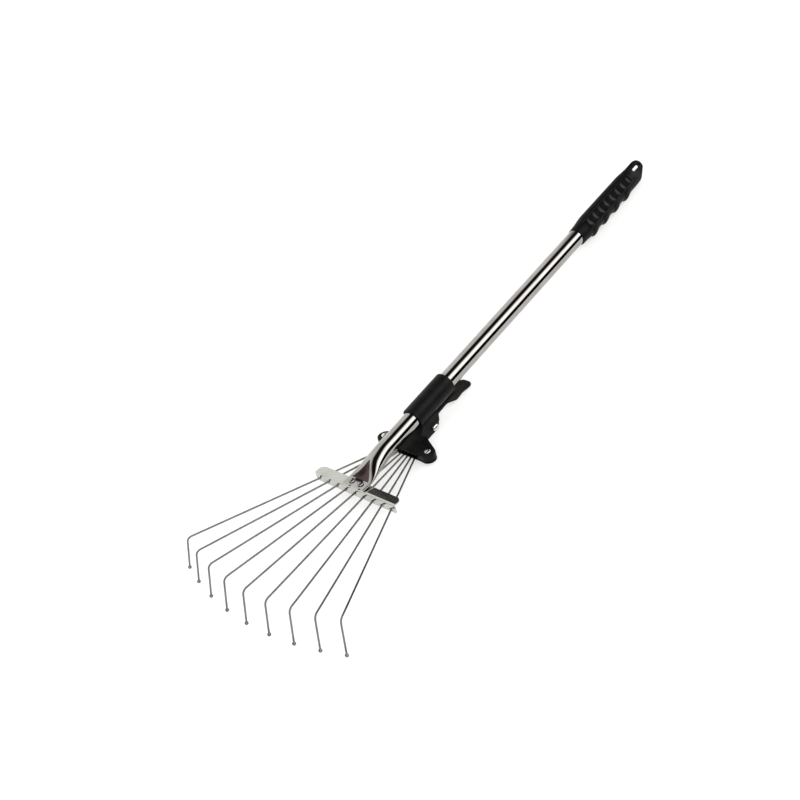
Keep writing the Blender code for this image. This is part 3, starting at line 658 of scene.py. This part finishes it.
def tine(number, sides=18):
    """One wire from its leg in the holder to its ball tip, built about its own pivot."""
    i = number - 1 - OUTERMOST
    pivot = Vector((i * PIVOT_PITCH, PIVOT_Y, 0.0))
    angle = math.atan2(i * (SLOT_PITCH - PIVOT_PITCH), PIVOT_Y)
    shaft = Vector((math.sin(angle), -math.cos(angle), 0.0))
    down = Vector((0.0, 0.0, -1.0))
    prong = math.cos(PRONG_ANGLE) * shaft + math.sin(PRONG_ANGLE) * down
    path = [(down * PIVOT_LEG, -down)]
    path += fillet(Vector((0.0, 0.0, 0.0)), -down, shaft, PIVOT_BEND, 10)
    corner = TINE_LENGTH * shaft
    bend = fillet(corner, shaft, prong, BEND_RADIUS, 18)
    start, stop = path[-1][0], bend[0][0]
    path += [(start.lerp(stop, k / 24), shaft) for k in range(1, 24)]
    path += bend
    tip = corner + (PRONG_LENGTH - 2.0 * BALL_RADIUS) * prong
    path += [(bend[-1][0].lerp(tip, k / 4), prong) for k in range(1, 5)]
    side = Vector((math.cos(angle), math.sin(angle), 0.0))
    rings = [ring_about(p, side, side.cross(t), WIRE_RADIUS, sides) for p, t in path]
    ball = path[-1][0] + BALL_RADIUS * prong
    first, ball_rings = math.asin(WIRE_RADIUS / BALL_RADIUS), 14
    for k in range(1, ball_rings + 1):
        t = first + (math.pi - first) * k / (ball_rings + 0.35)
        rings.append(ring_about(ball - BALL_RADIUS * math.cos(t) * prong, side,
                                side.cross(prong), BALL_RADIUS * math.sin(t), sides))
    finish_piece(skin(rings), f"tine_{number}_wire", fan @ Matrix.Translation(pivot), wire,
                 f"tine_{number}", f"tine_{number}", 50.0)


# ---------------------------------------------------------------- slider and lever

def plate_outline(rear_half_width, rear_y, steps=28):
    """The plate seen from above: a straight front, a round lobe each side, a narrow rear."""
    half = [(0.0, PLATE_FRONT_Y), (HOLDER_RIVET[0] - 0.0085, PLATE_FRONT_Y)]
    half += arc(HOLDER_RIVET, LOBE_RADIUS, -100, 62, steps)
    half += [(rear_half_width, rear_y), (0.0, rear_y)]
    return mirrored(half)


def slider_body():
    """Collar, lever ears and upper plate in one moulding, with the tines' pocket below."""
    in_rake = rake.inverted() @ fan
    length = COLLAR_END - COLLAR_START
    collar = turned((0, COLLAR_START, 0), (0, 1, 0),
                    [(COLLAR_RADIUS - 0.0008, 0.0), (COLLAR_RADIUS, 0.0008),
                     (COLLAR_RADIUS, length - 0.0010), (COLLAR_RADIUS - 0.0010, length)], 128)
    ears = prism([(0.0980, -0.0215), (0.1115, -0.0090), (0.1400, -0.0090), (0.1395, -0.0150),
                  (0.1370, -0.0225)] + arc((0.1270, -0.0215), 0.0085, -10, -90, 14)
                 + [(0.1130, -0.0300), (0.1000, -0.0290)],
                 "yz", -EAR_HALF_WIDTH, EAR_HALF_WIDTH)
    plate = prism(plate_outline(*PLATE_REAR), "xy", PLATE_SPLIT_Z, PLATE_TOP_Z)
    pocket = prism(mirrored([(0.0, PLATE_FRONT_Y - 0.010), (0.0262, PLATE_FRONT_Y - 0.010),
                             (0.0240, 0.0860), (0.0212, 0.0945), (0.0, 0.0945)]),
                   "xy", PLATE_SPLIT_Z - 0.001, POCKET_TOP_Z)
    cuts = [cylinder((0, 0.05, 0), (0, 0.2, 0), COLLAR_BORE, 128),
            box((-0.0088, 0.1162, -0.045), (0.0088, 0.150, -0.0141)),
            box((-0.0080, 0.1176, -0.020), (0.0080, 0.1344, -0.005)),
            cylinder((-0.02, PIVOT_S, PIVOT_N), (0.02, PIVOT_S, PIVOT_N), BOLT_RADIUS + GAP, 32),
            (pocket, in_rake)] + [(hole, in_rake) for hole in rivet_holes(HOLDER_RIVET)]
    bm = combined(collar, [("UNION", [ears, (plate, in_rake)]), ("DIFFERENCE", cuts)])
    bm = softened(bm, 0.00042, 5)
    finish_piece(bm, "slider_moulded", rake, black, "slider", "slider_body", 70.0)


def holder_plate():
    share = (PLATE_REAR[1] - LOWER_REAR_Y) / (PLATE_REAR[1] - HOLDER_RIVET[1])
    rear = PLATE_REAR[0] + share * (HOLDER_RIVET[0] - PLATE_REAR[0])
    plate = prism(plate_outline(rear, LOWER_REAR_Y), "xy", LOWER_BOTTOM_Z, LOWER_TOP_Z)
    holes = [cylinder((i * PIVOT_PITCH, PIVOT_Y, -0.010), (i * PIVOT_PITCH, PIVOT_Y, 0.0), 0.00165,
                      28) for i in range(-OUTERMOST, OUTERMOST + 1)]
    bm = eased(combined(plate, [("DIFFERENCE", holes + rivet_holes(HOLDER_RIVET))]), 0.0003)
    finish_piece(bm, "holder_moulded", fan, plate_black, "slider", "holder_plate", 30.0)


LEVER_STATIONS = (  # distance along the tube, top and bottom heights, half width
    (0.1290, -0.0162, -0.0262, 0.0082), (0.1370, -0.0158, -0.0240, 0.0082),
    (0.1425, -0.0156, -0.0203, 0.0080), (0.1520, -0.0154, -0.0193, 0.0080),
    (0.1610, -0.0154, -0.0196, 0.0080), (0.1690, -0.0154, -0.0232, 0.0083),
    (0.1750, -0.0156, -0.0262, 0.0087), (0.1800, -0.0166, -0.0258, 0.0092),
    (0.1860, -0.0187, -0.0246, 0.0097), (0.1960, -0.0220, -0.0260, 0.0101),
    (0.2010, -0.0233, -0.0270, 0.0098), (0.2042, -0.0241, -0.0274, 0.0084),
    (0.2062, -0.0248, -0.0273, 0.0062), (0.2072, -0.0254, -0.0269, 0.0036))


def lever_section(along):
    """Top, bottom and half width at a distance along the tube, on a smooth line."""
    stations = LEVER_STATIONS
    k = max(i for i in range(len(stations) - 1) if stations[i][0] <= along + 1e-9)
    before, a, b = stations[max(0, k - 1)], stations[k], stations[k + 1]
    after = stations[min(len(stations) - 1, k + 2)]
    h = b[0] - a[0]
    t = (along - a[0]) / h
    values = []
    for c in (1, 2, 3):
        slope_a = (b[c] - before[c]) / (b[0] - before[0])
        slope_b = (after[c] - a[c]) / (after[0] - a[0])
        values.append((2 * t ** 3 - 3 * t ** 2 + 1) * a[c]
                      + (t ** 3 - 2 * t ** 2 + t) * h * slope_a
                      + (3 * t ** 2 - 2 * t ** 3) * b[c] + (t ** 3 - t ** 2) * h * slope_b)
    return values


def rounded_ring(half_width, low, high, corner, along, steps=6):
    """A section across the tube: a rectangle with rounded corners."""
    corner = min(corner, 0.45 * (high - low))
    xs, zs = half_width - corner, (high - corner, low + corner)
    points = (arc((xs, zs[0]), corner, 0, 90, steps) + arc((-xs, zs[0]), corner, 90, 180, steps)
              + arc((-xs, zs[1]), corner, 180, 270, steps)
              + arc((xs, zs[1]), corner, 270, 360, steps))
    return [Vector((x, along, z)) for x, z in points]


def cam_lever():
    first, last, steps = LEVER_STATIONS[0][0], LEVER_STATIONS[-1][0], 90
    rings = []
    for k in range(steps + 1):
        along = first + (last - first) * k / steps
        high, low, half_width = lever_section(along)
        rings.append(rounded_ring(half_width, low, high, 0.0015, along))
    boss = cylinder((-0.0082, PIVOT_S, PIVOT_N), (0.0082, PIVOT_S, PIVOT_N), 0.0070, 96)
    bore = cylinder((-0.02, PIVOT_S, PIVOT_N), (0.02, PIVOT_S, PIVOT_N), BOLT_RADIUS + GAP, 32)
    bm = combined(skin(rings), [("UNION", [boss]), ("DIFFERENCE", [bore])])
    bm = softened(bm, 0.00032, 5)
    finish_piece(bm, "lever_moulded", rake, lever_black, "lever", "cam_lever", 70.0)


def pivot_bolt():
    """The lever's bolt with its low domed head, and the dome nut on its other end."""
    seat = EAR_HALF_WIDTH + GAP
    tip = seat + 0.0030
    head = [(r * BOLT_HEAD, -seat - 0.0030 * h) for r, h in
            ((0.20, 1.0), (0.45, 0.98), (0.66, 0.91), (0.82, 0.79), (0.93, 0.62), (0.99, 0.42),
             (1.0, 0.30), (1.0, 0.04), (0.96, 0.0))]
    shank = [(BOLT_RADIUS, -seat), (BOLT_RADIUS, tip - 0.0003), (BOLT_RADIUS - 0.0003, tip)]
    finish_piece(turned((0, PIVOT_S, PIVOT_N), (1, 0, 0), head + shank), "bolt_turned", rake,
                 bright, "slider", "pivot_bolt", 40.0)
    nut = [(BOLT_RADIUS + GAP, tip + GAP), (BOLT_RADIUS + GAP, seat), (BOLT_HEAD * 0.97, seat),
           (BOLT_HEAD, seat + 0.0002)] + dome(BOLT_HEAD, 0.0048, seat + 0.0008, 16)
    finish_piece(turned((0, PIVOT_S, PIVOT_N), (1, 0, 0), nut), "nut_turned", rake, bright,
                 "slider", "pivot_nut", 40.0)


# ---------------------------------------------------------------- studio and camera

FLOOR_REACH, FLOOR_GAP = 14.0, 0.0002
FLOOR_COLOUR, FLOOR_GLOW = (0.50, 0.50, 0.4975), 0.52
BACKDROP_RADIUS, BACKDROP_HEIGHT, BACKDROP_SIDES, BACKDROP_GLOW = 13.0, 14.0, 96, 1.0
PAPER_WHITE = (1.0, 1.0, 0.995, 1.0)
FLAG_CORNERS = ((0.150, -0.30, 0.0), (0.055, 0.62, 0.0), (0.055, 0.62, 0.034),
                (0.150, -0.30, 0.093))
FLAG_BLACK = (0.004, 0.004, 0.004)
SKY_BANDS = (  # height round the sky from +X over the top to -X in degrees, and brightness
    (0.0, 0.004), (16.0, 0.004), (21.0, 0.30), (28.0, 0.92), (52.0, 0.92), (62.0, 0.44),
    (72.0, 0.004), (107.0, 0.004), (113.0, 0.20), (121.0, 0.38), (180.0, 0.41))
SKY_TINT, SKY_STRENGTH = (1.0, 0.992, 0.98), 3.0
FAR_FADE, FAR_LEVEL = (0.588, 0.628), 0.03  # +Y part of a direction, and what is left beyond it
LEFT_FADE = (-0.35, -0.05)  # X part of a direction
CEILING_WATTS, CEILING_SIZE, CEILING_HEIGHT = 1400.0, 26.0, 9.0
CAMERA_PLACE = (0.9029, -0.6120, 0.8348)  # metres, in the fan frame
CAMERA_TURN = (55.0691, 13.3716, 42.5711)  # degrees, in the fan frame
LENS, SENSOR_WIDTH, CAMERA_REACH = 54.0, 36.0, 100.0


def stage_sheet(name, points, faces, drop, colour, roughness, glow=0.0, unseen_by=()):
    """A plain matt sheet of the studio, with its z = 0 at drop below the part's underside."""
    mesh = bpy.data.meshes.new(name)
    mesh.from_pydata(points, [], faces)
    sheet = bpy.data.objects.new(name, mesh)
    bpy.context.scene.collection.objects.link(sheet)
    sheet.location.z = cad_box[0].z - drop
    mat, _, shader = new_material(name, colour, 0.0, roughness)
    shader.inputs["Specular IOR Level"].default_value = 0.0
    if glow:
        shader.inputs["Emission Color"].default_value = PAPER_WHITE
        shader.inputs["Emission Strength"].default_value = glow
    mesh.materials.append(mat)
    for rays in unseen_by:
        setattr(sheet, f"visible_{rays}", False)


def sheets():
    """A pale floor that glows a little, pale paper behind every view, and one black card."""
    reach = FLOOR_REACH
    corners = [(-reach, -reach, 0), (reach, -reach, 0), (reach, reach, 0), (-reach, reach, 0)]
    stage_sheet("floor", corners, [(0, 1, 2, 3)], FLOOR_GAP, FLOOR_COLOUR, 0.9, FLOOR_GLOW)

    count = BACKDROP_SIDES
    around = [2.0 * math.pi * k / count for k in range(count)]
    points = [(BACKDROP_RADIUS * math.cos(a), BACKDROP_RADIUS * math.sin(a), z)
              for z in (0.0, BACKDROP_HEIGHT) for a in around]
    walls = [(k, (k + 1) % count, count + (k + 1) % count, count + k) for k in range(count)]
    roof = tuple(range(count, 2 * count))
    stage_sheet("backdrop", points, walls + [roof], FLOOR_GAP, (0.0, 0.0, 0.0), 1.0,
                BACKDROP_GLOW, ("glossy", "diffuse", "shadow"))

    stage_sheet("black_flag", FLAG_CORNERS, [(0, 1, 2, 3)], 0.0, FLAG_BLACK, 1.0,
                unseen_by=("camera", "diffuse", "shadow"))


def sky():
    """Light in bands that run along the tube; the far end of its left half is dark."""
    world = bpy.data.worlds.new("studio")
    bpy.context.scene.world = world
    world.use_nodes = True
    tree = world.node_tree
    tree.nodes.clear()
    output = tree.nodes.new("ShaderNodeOutputWorld")
    background = tree.nodes.new("ShaderNodeBackground")
    coords = tree.nodes.new("ShaderNodeTexCoord")
    split = tree.nodes.new("ShaderNodeSeparateXYZ")
    turn = tree.nodes.new("ShaderNodeMath")
    turn.operation = "ARCTAN2"
    share = tree.nodes.new("ShaderNodeMath")
    share.operation = "DIVIDE"
    share.inputs[1].default_value = math.pi
    band = tree.nodes.new("ShaderNodeValToRGB")
    tree.links.new(coords.outputs["Generated"], split.inputs["Vector"])
    tree.links.new(split.outputs["Z"], turn.inputs[0])
    tree.links.new(split.outputs["X"], turn.inputs[1])
    tree.links.new(turn.outputs["Value"], share.inputs[0])
    tree.links.new(share.outputs["Value"], band.inputs["Fac"])
    elements = band.color_ramp.elements
    while len(elements) > 1:
        elements.remove(elements[-1])
    for n, (degrees, level) in enumerate(SKY_BANDS):
        element = elements[0] if n == 0 else elements.new(degrees / 180.0)
        element.position = degrees / 180.0
        element.color = (*(level * tint for tint in SKY_TINT), 1.0)
    dim = tree.nodes.new("ShaderNodeMix")
    dim.data_type = "RGBA"
    dim.blend_type = "MULTIPLY"
    far = ranged(tree, split.outputs["Y"], 1.0, FAR_LEVEL, *FAR_FADE, "SMOOTHSTEP")
    left = ranged(tree, split.outputs["X"], 1.0, 0.0, *LEFT_FADE)
    tree.links.new(left, dim.inputs["Factor"])
    tree.links.new(band.outputs["Color"], dim.inputs["A"])
    tree.links.new(far, dim.inputs["B"])
    tree.links.new(dim.outputs["Result"], background.inputs["Color"])
    background.inputs["Strength"].default_value = SKY_STRENGTH
    tree.links.new(background.outputs["Background"], output.inputs["Surface"])


def ceiling():
    """A large soft light overhead, which doesn't show in reflections."""
    data = bpy.data.lights.new("ceiling", "AREA")
    data.shape = "SQUARE"
    data.size = CEILING_SIZE
    data.energy = CEILING_WATTS
    lamp = bpy.data.objects.new("ceiling", data)
    bpy.context.scene.collection.objects.link(lamp)
    lamp.location = (0.0, 0.0, CEILING_HEIGHT)
    lamp.visible_glossy = lamp.visible_camera = False


def camera():
    data = bpy.data.cameras.new("camera")
    data.sensor_width = SENSOR_WIDTH
    data.lens = LENS
    data.clip_end = CAMERA_REACH
    obj = bpy.data.objects.new("camera", data)
    bpy.context.scene.collection.objects.link(obj)
    aim = Euler([math.radians(a) for a in CAMERA_TURN], "XYZ").to_matrix().to_4x4()
    obj.matrix_world = fan @ Matrix.Translation(CAMERA_PLACE) @ aim
    bpy.context.scene.camera = obj


# ---------------------------------------------------------------- assembly

camera()
sheets()
sky()
ceiling()
bpy.context.scene.view_settings.view_transform = "Standard"

handle_tube()
hand_grip()
spreader_bracket()
rivets()
for tine_number in range(1, TINES + 1):
    tine(tine_number)
slider_body()
holder_plate()
cam_lever()
pivot_bolt()
for node_slot in frame["nodes"]["brake_pad"].material_slots:
    node_slot.material = pad_grey
